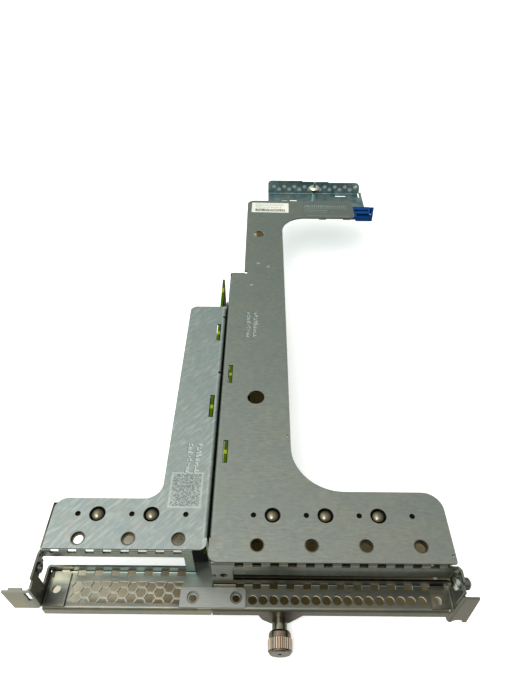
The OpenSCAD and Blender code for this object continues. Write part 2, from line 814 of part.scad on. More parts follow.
module screw_knob() {
    cup_r = ferrule_r + clear;
    body_r = knob_r - 0.5;
    band0 = 3.6;
    band1 = knob_l - 1.2;
    groove_w = 0.44;
    color([0.80, 0.79, 0.74])
        difference() {
            on_screw_axis(knob_near) polygon([
                [cup_r, 0], [body_r - 0.7, 0], [body_r, 1], [body_r, band0], [knob_r, band0],
                [knob_r, band1], [body_r, band1], [body_r, knob_l - 0.5],
                [body_r - 0.5, knob_l], [0, knob_l], [0, knob_cup + knob_bore],
                [shank_r + fit, knob_cup + knob_bore], [shank_r + fit, knob_cup],
                [cup_r, knob_cup]]);
            for (i = [0 : knurl_count - 1])
                translate([screw_x, knob_near - band0 + 0.1, screw_z])
                    rotate([90, i * 360 / knurl_count, 0])
                        translate([knob_r, 0, 0])
                            rotate([0, 0, 45])
                                translate([-groove_w / 2, -groove_w / 2, 0])
                                    cube([groove_w, groove_w, band1 - band0 + 0.2]);
            pin_along_y(screw_x, knob_near - knob_l - cut, knob_near - knob_l + 1, screw_z, 0.9);
        }
}

// ---- far tray ----

tray_floor = top_z - tray_drop;
tray_near = arm_near + 20.8;
tray_far = tray_near + tray_depth;
pin_y = tray_near + pin_in;
tray_flange = 15;
tray_wall_top = top_z + 0.4;
wall_steps = [41.5, 66];
wall_step_drop = 0.8;
foot_x = [55.2, 77];
foot_w = 6.4;

// A flange under the arm, a wall down to the floor, the floor and the far wall.
module tray_section() {
    translate([tray_near - tray_flange, under_z - sheet_t])
        square([tray_flange - bend_r, sheet_t]);
    translate([tray_near - bend_r, under_z - bend_o]) quarter_ring(bend_r, bend_o, 1, 1);
    translate([tray_near, tray_floor + bend_r])
        square([sheet_t, under_z - bend_o - tray_floor - bend_r]);
    translate([tray_near + bend_o, tray_floor + bend_r])
        quarter_ring(bend_r, bend_o, -1, -1);
    translate([tray_near + bend_o, tray_floor - sheet_t])
        square([tray_far - bend_r - tray_near - bend_o, sheet_t]);
    translate([tray_far - bend_r, tray_floor + bend_r]) quarter_ring(bend_r, bend_o, 1, -1);
    translate([tray_far, tray_floor + bend_r])
        square([sheet_t, tray_wall_top - tray_floor - bend_r]);
}

vent_column = 4.75;
tray_vent_r = 1.75;

// Slots in the floor: [left, right, near, far], the last two from the near wall.
floor_slots = [[73, 83, 37.4, 40.2], [30.2, 36.5, 27.4, 31.6], [22.5, 27.5, 28.2, 31]];

module far_tray() {
    low = tray_floor - 2 * sheet_t;
    wall_r = tray_r - 2.4;
    color([0.42, 0.46, 0.47])
        difference() {
            union() {
                along_x(tray_l, tray_r) tray_section();
                for (x = foot_x)
                    box(x, x + foot_w, tray_near, tray_near + sheet_t, tray_floor - 2.4,
                        tray_floor + 2 * sheet_t);
            }
            // The far wall is rounded at its ends and steps down twice.
            along_y(tray_far - bend_r, tray_far + 2 * sheet_t) {
                spandrel([tray_l, tray_wall_top], 1, -1, 3);
                translate([wall_steps[0], tray_wall_top - wall_step_drop])
                    square([tray_r, wall_step_drop + cut]);
                translate([wall_steps[1], tray_wall_top - 2 * wall_step_drop])
                    square([tray_r, wall_step_drop + cut]);
                translate([wall_r, tray_floor + bend_r]) square([tray_r, tray_drop]);
                spandrel([wall_r, tray_wall_top - 2 * wall_step_drop], -1, -1, 4.5);
            }
            box(wall_r - 1.1, wall_r + 0.1, tray_far - 7, tray_far + 2 * sheet_t, low,
                tray_floor + bend_r);
            for (i = [0 : 16])
                pin_along_y(tray_l + 5.4 + i * vent_column, tray_far - cut,
                    tray_far + 2 * sheet_t, top_z - (i % 2 == 0 ? 5.2 : 7.8), tray_vent_r);
            translate([pin_x, pin_y, low]) cylinder(h = 4 * sheet_t, r = bushing_neck_r + fit);
            for (b = floor_slots)
                box(b[0], b[1], tray_near + b[2], tray_near + b[3], low, tray_floor + cut);
            // The flange leaves room for the touch handle.
            box(handle_l - clear, tray_r + cut, arm_near, tray_near, tray_floor, top_z);
        }
}

bushing_h = 2.5;
bushing_neck_r = pin_r + 1.2;
pin_neck = 2.4;
pin_thread_l = 2.1;

module tray_bushing() {
    color([0.55, 0.55, 0.52])
        translate([pin_x, pin_y, tray_floor])
            difference() {
                union() {
                    cylinder(h = bushing_h, r = 3.4);
                    translate([0, 0, -sheet_t]) cylinder(h = sheet_t + eps, r = bushing_neck_r);
                }
                translate([0, 0, -2 * sheet_t])
                    cylinder(h = bushing_h + 4 * sheet_t, r = pin_r + fit);
            }
}

pin_head_z = tray_floor + bushing_h + pin_travel + clear;

module tray_screw_shaft() {
    tip_z = tray_floor - sheet_t - clear - pin_thread_l;
    length = pin_head_z + pin_neck - clear - tip_z;
    color([0.60, 0.72, 0.76])
        translate([pin_x, pin_y, tip_z])
            rotate_extrude() polygon([
                [0, 0], [pin_thread_r - thread_lead, 0], [pin_thread_r, thread_lead],
                [pin_thread_r, pin_thread_l], [pin_r, pin_thread_l], [pin_r, length],
                [0, length]]);
}

// A round cap with a spigot on its top and a narrower shoulder under it.
module tray_screw_head() {
    head_h = 5.4;
    spigot_h = 3.8;
    shoulder_h = 2.2;
    shoulder_r = 3.2;
    color([0.62, 0.55, 0.40])
        translate([pin_x, pin_y, pin_head_z])
            rotate_extrude() polygon([
                [pin_r + fit, 0], [shoulder_r - 0.3, 0], [shoulder_r, 0.3],
                [shoulder_r, shoulder_h], [pin_head_r - 0.4, shoulder_h],
                [pin_head_r, shoulder_h + 0.4],
                [pin_head_r, head_h - 1.4], [pin_head_r - 1.2, head_h - 0.2],
                [pin_head_r - 2, head_h], [1.1, head_h], [1.1, head_h + spigot_h],
                [0, head_h + spigot_h], [0, pin_neck], [pin_r + fit, pin_neck]]);
}

handle_l = 74;
handle_block_l = 85.5;
handle_end_l = tray_r - 1.4;
handle_near = tray_near - 13.6;
handle_rib_near = tray_near - 10.5;
handle_tongue_near = tray_near - 16.6;
handle_top = under_z - clear;
handle_h = 5.9;
handle_tongue_h = 2.6;
ledge_drop = 2.5;
rib_t = 0.9;
groove_drop = 1.8;
groove_span = [tray_near - 7.2, tray_near - 4.3];
hollow_depth = 2.4;
end_slope = 3;
end_wall = 1.6;
end_slot_w = 1.4;

// Distance of the sloping end from the middle, at a depth y.
function end_x(y) = handle_r - end_slope * (tray_near - y) / (tray_near - handle_near);

// Moulded touch handle: a grooved block and a ledge, with a slotted end that slopes.
module touch_handle() {
    low = handle_top - handle_h;
    slot_near = handle_near + end_wall;
    slot_far = tray_near - end_wall;
    color([0.05, 0.30, 0.60])
        difference() {
            union() {
                box(handle_block_l, handle_end_l + cut, handle_rib_near, tray_near, low,
                    handle_top);
                box(handle_block_l, handle_end_l + cut, handle_near, handle_rib_near + eps, low,
                    handle_top - ledge_drop);
                box(handle_l, handle_block_l + eps, handle_tongue_near, tray_near,
                    handle_top - handle_tongue_h, handle_top);
                translate([0, 0, low])
                    linear_extrude(handle_h)
                        difference() {
                            polygon([[handle_end_l, handle_near],
                                [end_x(handle_near), handle_near],
                                [end_x(tray_near), tray_near], [handle_end_l, tray_near]]);
                            spandrel([end_x(tray_near), tray_near], -1, -1, 1);
                        }
            }
            box(handle_block_l - cut, handle_end_l, groove_span[0], groove_span[1],
                handle_top - groove_drop, handle_top + cut);
            box(handle_block_l + 1, handle_end_l, handle_rib_near - eps,
                handle_rib_near + hollow_depth, handle_top - ledge_drop, handle_top - rib_t);
            translate([0, 0, low - cut])
                linear_extrude(handle_h + 2 * cut)
                    polygon([[end_x(slot_near) - end_wall - end_slot_w, slot_near],
                        [end_x(slot_near) - end_wall, slot_near],
                        [end_x(slot_far) - end_wall, slot_far],
                        [end_x(slot_far) - end_wall - end_slot_w, slot_far]]);
        }
}

label_l = upper_l + 3.6;
label_near = arm_near + 8.4;
label_w = 31.8;
label_h = 15.8;
label_t = 0.15;
label_turn = -1.2;

module part_label() {
    color([0.93, 0.91, 0.86])
        translate([label_l, label_near, top_z])
            rotate([0, 0, label_turn])
                cube([label_w, label_h, label_t]);
}

film_l = arm_r - 43;
film_near = arm_near + 2;
film_w = 41.6;
film_h = 23;
film_corner = 3.5;

// Clear film stuck on the end of the arm.
module film_label() {
    color([0.70, 0.74, 0.72])
        translate([film_l, film_near, top_z])
            linear_extrude(label_t)
                difference() {
                    square([film_w, film_h]);
                    for (x = [0, film_w], y = [0, film_h])
                        spandrel([x, y], x > 0 ? -1 : 1, y > 0 ? -1 : 1, film_corner);
                }
}

right_top_sheet();
left_top_sheet();
right_rear_bracket();
left_rear_bracket();
splice_plate();
domed_studs();
slot_blank();
blank_screw();
dome_nut();
clinch_nut();
left_riser_board();
right_riser_board();
left_slot_connector();
right_slot_connector();
board_standoffs();
board_screws();
screw_ferrule();
screw_shank();
screw_knob();
far_tray();
tray_bushing();
tray_screw_shaft();
tray_screw_head();
touch_handle();
part_label();
film_label();
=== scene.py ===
# %% [markdown]
# # A riser cage bracket
# This lesson dresses the solid model of a server's riser cage: folded zinc-coated steel,
# two green riser boards, plated screws, a blue touch handle and two labels. The solids
# already have the right shapes, so most of the work is in materials, light and small marks.

# %% Load the frame
import bpy
from math import radians, sin
from mathutils import Matrix, Vector


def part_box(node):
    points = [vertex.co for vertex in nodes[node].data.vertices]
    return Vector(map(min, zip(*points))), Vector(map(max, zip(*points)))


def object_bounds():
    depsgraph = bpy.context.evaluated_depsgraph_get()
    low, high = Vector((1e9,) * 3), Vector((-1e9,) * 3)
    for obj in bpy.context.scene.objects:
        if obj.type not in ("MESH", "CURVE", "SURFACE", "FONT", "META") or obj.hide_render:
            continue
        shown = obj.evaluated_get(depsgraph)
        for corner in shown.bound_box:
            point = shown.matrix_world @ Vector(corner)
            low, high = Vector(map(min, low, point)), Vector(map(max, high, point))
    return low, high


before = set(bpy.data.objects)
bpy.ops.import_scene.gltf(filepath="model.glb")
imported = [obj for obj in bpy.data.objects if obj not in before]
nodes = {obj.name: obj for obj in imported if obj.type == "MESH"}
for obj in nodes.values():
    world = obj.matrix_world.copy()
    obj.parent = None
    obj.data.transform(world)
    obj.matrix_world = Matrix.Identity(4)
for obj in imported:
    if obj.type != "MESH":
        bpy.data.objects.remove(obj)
solid_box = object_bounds()
MM = 0.001
print("solids:", len(nodes), "box:", [tuple(round(c, 4) for c in p) for p in solid_box])

# %% [markdown]
# ## The camera
# The cage lies flat and is seen from behind the server, from above, with a wide lens held
# close. A close wide lens makes the near wings large and the far tray small, so its place
# matters more than its zoom. The turn is made of three simple ones: a tilt down, a hair of
# roll and a hair of yaw.

# %% Place the camera
EYE_PLACE = (5.3, -99, 277.2)
eye = bpy.data.cameras.new("eye")
eye.sensor_fit = "HORIZONTAL"
eye.sensor_width = 36
eye.lens = 36
eye.clip_start = 0.01
eye.clip_end = 60
camera = bpy.data.objects.new("camera", eye)
bpy.context.scene.collection.objects.link(camera)
tilt = Matrix.Rotation(radians(45), 4, "X")
roll = Matrix.Rotation(radians(0.6), 4, "Z")
yaw = Matrix.Rotation(radians(-0.1), 4, "Z")
camera.matrix_world = Matrix.Translation(Vector(EYE_PLACE) * MM) @ yaw @ tilt @ roll
bpy.context.scene.camera = camera
print("camera at", tuple(round(c, 4) for c in camera.matrix_world.translation))

# %% [markdown]
# ## A short way to write shader trees
# A material in Blender is a tree of nodes. Writing one out node by node makes long cells,
# so a few small helpers add a node, do a sum, mix two colours and open a node group. The
# finishes below are then short recipes.

# %% Helpers for nodes
def put(tree, kind, inputs=None, **settings):
    """Adds a node. An input may be a plain value or another node's output."""
    made = tree.nodes.new(kind)
    for name, value in settings.items():
        setattr(made, name, value)
    for name, value in (inputs or {}).items():
        if isinstance(value, bpy.types.NodeSocket):
            tree.links.new(value, made.inputs[name])
        else:
            made.inputs[name].default_value = value
    return made


def maths(tree, operation, a, b=0.0, clamp=False):
    """Does one sum with two values."""
    return put(tree, "ShaderNodeMath", {0: a, 1: b}, operation=operation,
               use_clamp=clamp).outputs[0]


def blend(tree, factor, a, b, mode="MIX"):
    """Mixes two colours."""
    return put(tree, "ShaderNodeMix", {"Factor": factor, 6: a, 7: b}, data_type="RGBA",
               blend_type=mode).outputs[2]


def spread(tree, value, low, high, out_low=0.0, out_high=1.0):
    """Stretches a value from one range to another and clamps it."""
    return put(tree, "ShaderNodeMapRange", {0: value, 1: low, 2: high, 3: out_low,
                                            4: out_high}).outputs[0]


def ramp(tree, value, stops):
    """A colour ramp through (position, colour) stops."""
    made = put(tree, "ShaderNodeValToRGB", {0: value})
    points = made.color_ramp.elements
    while len(points) < len(stops):
        points.new(0.5)
    for point, (position, colour) in zip(points, stops):
        point.position = position
        point.color = tuple(colour) + (1,)
    return made.outputs[0]


print("helpers ready")

# %% [markdown]
# ## Floor and light
# Bare metal has almost no colour of its own: it shows what is round it. A soft sky that is
# bright overhead, dim and greenish near the horizon and warmer to the left gives each fold
# its own shade. A wide sun adds one clear direction. The floor is white to the eye, while
# the light that bounces off it under the cage is that of a workbench, dim and warm.

# %% Floor
def plain_mesh(name, points, faces):
    """Adds a piece made of points and faces."""
    mesh = bpy.data.meshes.new(name)
    mesh.from_pydata([tuple(p) for p in points], [], faces)
    piece = bpy.data.objects.new(name, mesh)
    bpy.context.scene.collection.objects.link(piece)
    return piece


FLOOR_REACH = 8
FLOOR_CLEARANCE = 0.0002
floor_z = solid_box[0].z - FLOOR_CLEARANCE
floor = plain_mesh("floor", [(x * FLOOR_REACH, y * FLOOR_REACH, floor_z) for x, y in
                             ((-1, -1), (1, -1), (1, 1), (-1, 1))], [(0, 1, 2, 3)])
print("floor at", round(floor.data.vertices[0].co.z, 4))

# %% Sky
sky = bpy.data.worlds.new("sky")
bpy.context.scene.world = sky
sky.use_nodes = True
sky_tree = sky.node_tree
direction = put(sky_tree, "ShaderNodeTexCoord").outputs["Generated"]
split = put(sky_tree, "ShaderNodeSeparateXYZ", {0: direction})
height = ramp(sky_tree, split.outputs["Z"], [
    (0.0, (0.20, 0.21, 0.19)), (0.25, (0.31, 0.35, 0.33)), (0.48, (0.39, 0.487, 0.445)),
    (0.67, (0.57, 0.655, 0.625)), (0.76, (0.69, 0.78, 0.765)), (0.85, (0.90, 0.94, 0.93)),
    (0.93, (1.0, 0.98, 0.94))])
side = ramp(sky_tree, spread(sky_tree, split.outputs["X"], -1, 1), [
    (0.10, (1.0, 1.0, 1.0)), (0.30, (0.84, 0.83, 0.82)), (0.42, (0.61, 0.61, 0.61)),
    (0.52, (0.50, 0.50, 0.50)), (0.62, (0.43, 0.42, 0.42)), (0.80, (0.40, 0.39, 0.38))])
glow = blend(sky_tree, 1.0, height, side, "MULTIPLY")
sky_tree.links.new(glow, sky_tree.nodes["Background"].inputs["Color"])
sky_tree.nodes["Background"].inputs["Strength"].default_value = 2.0
print("sky nodes:", len(sky_tree.nodes))

# %% Lamps
def lamp(name, kind, energy, place, aim, size):
    """A lamp at a place, turned to an aim. Its size is an angle for a sun, else a width."""
    data = bpy.data.lights.new(name, kind)
    data.energy = energy
    if kind == "AREA":
        data.size = size
    else:
        data.angle = size
    piece = bpy.data.objects.new(name, data)
    bpy.context.scene.collection.objects.link(piece)
    piece.location = place
    piece.rotation_euler = (Vector(aim) - Vector(place)).to_track_quat("-Z", "Y").to_euler()
    return piece


lamp("wide_sun", "SUN", 0.85, (-1, -0.6, 3), (0, 0.15, 0), radians(40))
lamp("near_panel", "AREA", 0.9, (-0.2, -0.3, 0.75), (0.0, 0.0, 0.03), 0.22)
bpy.context.scene.view_settings.view_transform = "Standard"

# %% [markdown]
# ## Building blocks for finishes
# Every finish below starts from the same few effects: rolling streaks, cloudy dulling,
# painted shade in crevices, rub marks, faces that look one way, soft boxes and rows of small
# strokes.
# Each is a node group, made once, with named inputs, so a finish is a short recipe of
# groups in front of one Principled shader.

# %% Open a node group
FLOAT = "NodeSocketFloat"
VECTOR = "NodeSocketVector"


def new_group(name, inputs, outputs):
    """A node group with named inputs, each a kind and a starting value, and outputs."""
    tree = bpy.data.node_groups.new(name, "ShaderNodeTree")
    for label, (kind, value) in inputs.items():
        socket = tree.interface.new_socket(label, in_out="INPUT", socket_type=kind)
        socket.default_value = value
    for label, kind in outputs.items():
        tree.interface.new_socket(label, in_out="OUTPUT", socket_type=kind)
    return tree, tree.nodes.new("NodeGroupInput"), tree.nodes.new("NodeGroupOutput")


print("groups can be opened")

# %% Fine streaks from the rolling mill
streaks, given, result = new_group(
    "rolling_streaks",
    {"Along": (FLOAT, 220.0), "Across": (FLOAT, 1300.0), "Turn": (FLOAT, 0.0)},
    {"Streak": FLOAT})
place = put(streaks, "ShaderNodeTexCoord").outputs["Object"]
turned = put(streaks, "ShaderNodeVectorRotate",
             {"Vector": place, "Angle": given.outputs["Turn"]}, rotation_type="Z_AXIS")
stretch = put(streaks, "ShaderNodeCombineXYZ", {0: given.outputs["Along"],
                                                1: given.outputs["Across"],
                                                2: given.outputs["Across"]})
fine = put(streaks, "ShaderNodeVectorMath", {0: turned.outputs[0], 1: stretch.outputs[0]},
           operation="MULTIPLY")
grain = put(streaks, "ShaderNodeTexNoise", {"Vector": fine.outputs[0], "Scale": 1.0,
                                            "Detail": 3.0, "Roughness": 0.6})
streaks.links.new(spread(streaks, grain.outputs[0], 0.3, 0.7), result.inputs["Streak"])
print("group:", streaks.name)

# %% Cloudy dulling
clouds, given, result = new_group(
    "cloudy_dulling", {"Size": (FLOAT, 60.0), "Change": (FLOAT, 0.0)}, {"Cloud": FLOAT})
place = put(clouds, "ShaderNodeTexCoord").outputs["Object"]
soft = put(clouds, "ShaderNodeTexNoise", {"Vector": place, "W": given.outputs["Change"],
                                          "Scale": given.outputs["Size"], "Detail": 4.0,
                                          "Roughness": 0.55}, noise_dimensions="4D")
clouds.links.new(spread(clouds, soft.outputs[0], 0.35, 0.65), result.inputs["Cloud"])
print("group:", clouds.name)

# %% Painted shade in crevices
# Shade is painted where two sheets meet, round a stud and inside a small hole: ambient
# occlusion darkens the colour there.
crevice_shade_tree, given, result = new_group(
    "painted_crevice_shade", {"Reach": (FLOAT, 0.0016), "Dark": (FLOAT, 0.35), "Clear": (FLOAT, 0.8)},
    {"Open": FLOAT})
near = put(crevice_shade_tree, "ShaderNodeAmbientOcclusion", {"Distance": given.outputs["Reach"]},
           samples=6)
crevice_shade_tree.links.new(spread(crevice_shade_tree, near.outputs["AO"], given.outputs["Dark"],
                         given.outputs["Clear"]), result.inputs["Open"])
print("group:", crevice_shade_tree.name)

# %% Rub marks
# Many short strokes that all lean one way, thick in some places and absent in others.
rubs, given, result = new_group(
    "rub_marks", {"Lean": (FLOAT, -0.85), "Length": (FLOAT, 130.0), "Width": (FLOAT, 620.0)},
    {"Mark": FLOAT})
lean = put(rubs, "ShaderNodeGroup", {}, node_tree=streaks)
rubs.links.new(given.outputs["Lean"], lean.inputs["Turn"])
rubs.links.new(given.outputs["Length"], lean.inputs["Along"])
rubs.links.new(given.outputs["Width"], lean.inputs["Across"])
where = put(rubs, "ShaderNodeGroup", {}, node_tree=clouds)
where.inputs["Size"].default_value = 45.0
sharp = spread(rubs, lean.outputs["Streak"], 0.45, 0.95)
patchy = spread(rubs, where.outputs["Cloud"], 0.0, 1.0, 0.35, 1.0)
rubs.links.new(maths(rubs, "MULTIPLY", sharp, patchy), result.inputs["Mark"])
print("group:", rubs.name)

# %% Faces that look one way
# One where the surface looks along a direction, nought where it turns away.
facing, given, result = new_group(
    "facing", {"Direction": (VECTOR, (0, 0, 1)), "Least": (FLOAT, 0.75), "Full": (FLOAT, 0.9)},
    {"Mask": FLOAT})
normal = put(facing, "ShaderNodeTexCoord").outputs["Normal"]
towards = put(facing, "ShaderNodeVectorMath", {0: normal, 1: given.outputs["Direction"]},
              operation="DOT_PRODUCT")
facing.links.new(spread(facing, towards.outputs["Value"], given.outputs["Least"],
                        given.outputs["Full"]), result.inputs["Mask"])
print("group:", facing.name)

# %% A soft box
# One inside a box in space, fading to nought over a soft edge that noise makes uneven.
region, given, result = new_group(
    "soft_box", {"Low": (VECTOR, (0, 0, 0)), "High": (VECTOR, (0, 0, 0)),
                 "Edge": (FLOAT, 0.0003), "Uneven": (FLOAT, 0.0)}, {"Mask": FLOAT})
place = put(region, "ShaderNodeTexCoord").outputs["Object"]
below = put(region, "ShaderNodeVectorMath", {0: given.outputs["Low"], 1: place},
            operation="SUBTRACT")
above = put(region, "ShaderNodeVectorMath", {0: place, 1: given.outputs["High"]},
            operation="SUBTRACT")
outside = put(region, "ShaderNodeSeparateXYZ", {0: put(
    region, "ShaderNodeVectorMath", {0: below.outputs[0], 1: above.outputs[0]},
    operation="MAXIMUM").outputs[0]}).outputs
farthest = maths(region, "MAXIMUM", maths(region, "MAXIMUM", outside["X"], outside["Y"]),
                 outside["Z"])
wander = put(region, "ShaderNodeTexNoise", {"Vector": place, "Scale": 260.0, "Detail": 3.0})
shift = maths(region, "MULTIPLY", maths(region, "SUBTRACT", wander.outputs[0], 0.5),
              given.outputs["Uneven"])
farthest = maths(region, "ADD", farthest, shift)
region.links.new(spread(region, farthest, given.outputs["Edge"],
                        maths(region, "MULTIPLY", given.outputs["Edge"], -1.0)),
                 result.inputs["Mask"])
print("group:", region.name)

# %% Rows of small strokes
# Stands for print and stamped rows: cells in a box, each filled or left out by chance.
rows, given, result = new_group(
    "stroke_rows",
    {"Corner": (VECTOR, (0, 0, 0)), "Turn": (FLOAT, 0.0), "Width": (FLOAT, 0.02),
     "Height": (FLOAT, 0.01), "Cells": (FLOAT, 12.0), "Rows": (FLOAT, 3.0),
     "Fill": (FLOAT, 0.5), "Share": (FLOAT, 0.7), "Gap": (FLOAT, 0.75)},
    {"Mark": FLOAT, "Inside": FLOAT})
place = put(rows, "ShaderNodeTexCoord").outputs["Object"]
shifted = put(rows, "ShaderNodeVectorMath", {0: place, 1: given.outputs["Corner"]},
              operation="SUBTRACT")
turned = put(rows, "ShaderNodeVectorRotate",
             {"Vector": shifted.outputs[0], "Angle": given.outputs["Turn"]},
             rotation_type="Z_AXIS")
local = put(rows, "ShaderNodeSeparateXYZ", {0: turned.outputs[0]})
u = maths(rows, "DIVIDE", local.outputs["X"], given.outputs["Width"])
v = maths(rows, "DIVIDE", local.outputs["Y"], given.outputs["Height"])


def within(tree, value, low, high):
    """One between low and high, else nought."""
    return maths(tree, "MULTIPLY", maths(tree, "GREATER_THAN", value, low),
                 maths(tree, "LESS_THAN", value, high))


inside = maths(rows, "MULTIPLY", within(rows, u, 0.0, 1.0), within(rows, v, 0.0, 1.0))
inside = maths(rows, "MULTIPLY", inside,
               maths(rows, "GREATER_THAN", local.outputs["Z"], -0.0004))
across = maths(rows, "MULTIPLY", u, given.outputs["Cells"])
down = maths(rows, "MULTIPLY", v, given.outputs["Rows"])
cell = put(rows, "ShaderNodeCombineXYZ", {0: maths(rows, "FLOOR", across),
                                          1: maths(rows, "FLOOR", down)})
chance = put(rows, "ShaderNodeTexWhiteNoise", {"Vector": cell.outputs[0]})
kept = maths(rows, "LESS_THAN", chance.outputs["Value"], given.outputs["Share"])
lot = put(rows, "ShaderNodeSeparateColor", {0: chance.outputs["Color"]}).outputs
wide = maths(rows, "MULTIPLY", given.outputs["Gap"], spread(rows, lot[1], 0, 1, 0.6, 1.1))
tall = maths(rows, "MULTIPLY", given.outputs["Fill"], spread(rows, lot[2], 0, 1, 0.75, 1.05))
stroke = maths(rows, "MULTIPLY",
               maths(rows, "LESS_THAN", maths(rows, "FRACT", across), wide),
               maths(rows, "LESS_THAN", maths(rows, "FRACT", down), tall))
mark = maths(rows, "MULTIPLY", maths(rows, "MULTIPLY", kept, stroke), inside)
rows.links.new(mark, result.inputs["Mark"])
rows.links.new(inside, result.inputs["Inside"])
print("group:", rows.name)


def strokes(tree, corner, width, height, cells, count, fill=0.5, share=0.75, gap=0.75,
            turn=0.0):
    """Places stroke_rows with its near left corner at a point in millimetres."""
    made = put(tree, "ShaderNodeGroup", {}, node_tree=rows)
    values = {"Corner": Vector(corner) * MM, "Turn": turn, "Width": width * MM,
              "Height": height * MM, "Cells": cells, "Rows": count, "Fill": fill,
              "Share": share, "Gap": gap}
    for name, value in values.items():
        made.inputs[name].default_value = value
    return made.outputs

# %% [markdown]
# ## Zinc-coated steel
# The sheets are galvanised: a grey with a little green in it, satin rather than mirror
# bright, with streaks along the rolling direction. One recipe makes all the sheet metal,
# and each piece gets its own shade, streaks and rubbing. The two rear brackets are given a
# darker, warmer shade, a painted reflection of the dim, warm workbench round them.

# %% The sheet metal recipe
TOP_Z = 42
WING_HOLE_R = 3
# The colour of the painted shade in crevices.
CREVICE_SHADE = (0.035, 0.026, 0.016, 1)


def shade_of(colour, times):
    """A colour made lighter or darker, with its alpha."""
    return tuple(min(1, c * times) for c in colour) + (1,)


def looks_towards(tree, direction, least=0.75, full=0.9):
    """One on faces that look along a direction."""
    made = put(tree, "ShaderNodeGroup", {}, node_tree=facing)
    made.inputs["Direction"].default_value = direction
    made.inputs["Least"].default_value = least
    made.inputs["Full"].default_value = full
    return made.outputs["Mask"]


def inside_box(tree, low, high, edge=0.05, uneven=0.0):
    """A soft box between two corners in millimetres."""
    made = put(tree, "ShaderNodeGroup", {}, node_tree=region)
    made.inputs["Low"].default_value = Vector(low) * MM
    made.inputs["High"].default_value = Vector(high) * MM
    made.inputs["Edge"].default_value = edge * MM
    made.inputs["Uneven"].default_value = uneven * MM
    return made.outputs["Mask"]


def zone(low, high, times, edge=0.3, uneven=0.0, towards=None):
    """Multiplies the colour inside a soft box, or only on its faces that look one way."""
    def add(tree, colour, relief):
        mask = inside_box(tree, low, high, edge, uneven)
        if towards:
            mask = maths(tree, "MULTIPLY", mask, looks_towards(tree, *towards))
        return blend(tree, mask, colour, tuple(times) + (1,), "MULTIPLY"), relief
    return add


def ring(x, y, times):
    """Painted shade: multiplies the colour in a thin ring round a punched hole in the top."""
    def add(tree, colour, relief):
        place = put(tree, "ShaderNodeTexCoord").outputs["Object"]
        away = put(tree, "ShaderNodeVectorMath", {0: place, 1: Vector((x, y, TOP_Z)) * MM},
                   operation="DISTANCE").outputs["Value"]
        mask = spread(tree, away, (WING_HOLE_R + 0.15) * MM, (WING_HOLE_R + 0.65) * MM, 0.85, 0)
        return blend(tree, mask, colour, tuple(times) + (1,), "MULTIPLY"), relief
    return add


def noise_of(tree, size, change=0.0):
    """Cloudy noise. Another change gives another pattern."""
    made = put(tree, "ShaderNodeGroup", {}, node_tree=clouds)
    made.inputs["Size"].default_value = size
    made.inputs["Change"].default_value = change
    return made.outputs["Cloud"]


def metal(name, shade, roughness, streak=0.10, streak_turn=0.0, patches=(), rub=0.0,
          bare_wall_highlight=None, bump=0.08, along=220.0, across=1300.0, crevice_shade=0.6, metallic=1.0,
          marks=()):
    """A finished metal. Each patch is a colour, a size, a strength and a number that
    changes the pattern. streak, rub and crevice_shade (painted shade) say how strongly each
    effect shows."""
    made = bpy.data.materials.new(name)
    made.use_nodes = True
    tree = made.node_tree
    skin = tree.nodes["Principled BSDF"]
    lines = put(tree, "ShaderNodeGroup", {}, node_tree=streaks)
    lines.inputs["Along"].default_value = along
    lines.inputs["Across"].default_value = across
    lines.inputs["Turn"].default_value = streak_turn
    colour = blend(tree, lines.outputs["Streak"], shade_of(shade, 1 - streak),
                   shade_of(shade, 1 + streak))
    for tint, size, strength, change in patches:
        share = maths(tree, "MULTIPLY", noise_of(tree, size, change), strength)
        colour = blend(tree, share, colour, tuple(tint) + (1,))
    rough = spread(tree, lines.outputs["Streak"], 0, 1, roughness - 0.05, roughness + 0.05)
    height = lines.outputs["Streak"]
    if rub:
        worn = put(tree, "ShaderNodeGroup", {}, node_tree=rubs).outputs["Mark"]
        colour = blend(tree, maths(tree, "MULTIPLY", worn, rub), colour, shade_of(shade, 1.7))
    for mark in marks:
        colour, height = mark(tree, colour, height)
    # Painted shade: ambient occlusion darkens the colour in crevices.
    gap = put(tree, "ShaderNodeGroup", {}, node_tree=crevice_shade_tree)
    colour = blend(tree, spread(tree, gap.outputs["Open"], 0, 1, crevice_shade, 0), colour, CREVICE_SHADE)
    skin.inputs["Metallic"].default_value = metallic
    if bare_wall_highlight:
        # A punch shears through the zinc and leaves a bare, matt wall in the shelf. Only the
        # walls that face the light at the near left are made pale and matt: a painted
        # highlight.
        highlit_walls = maths(tree, "MULTIPLY", looks_towards(tree, (-0.6, -0.8, 0), 0.35, 0.6),
                      inside_box(tree, (-200, -10, 17.4), (200, 400, 18.6)))
        colour = blend(tree, highlit_walls, colour, tuple(bare_wall_highlight) + (1,))
        tree.links.new(spread(tree, highlit_walls, 0, 1, 1, 0), skin.inputs["Metallic"])
    tree.links.new(colour, skin.inputs["Base Color"])
    tree.links.new(rough, skin.inputs["Roughness"])
    relief = put(tree, "ShaderNodeBump", {"Strength": bump, "Distance": 0.0001,
                                          "Height": height})
    tree.links.new(relief.outputs[0], skin.inputs["Normal"])
    return made


print("recipe ready")

# %% The floor's paint
# Under the shelf, the right wing and the columns the floor lies in deep, brownish shade. A
# ramp from left to right gives that shade, and soft boxes say where it is.
DEEP = 50
WHITE_FLOOR = (0.93, 0.93, 0.92, 1)
FLOOR_GLOW = (0.50, 0.50, 0.495, 1)
WORKBENCH = (0.46, 0.42, 0.36, 1)


def floor_box(tree, left, near, right, far, edge):
    """One on a patch of the floor, with a soft edge."""
    return inside_box(tree, (left, near, -DEEP), (right, far, DEEP), edge)


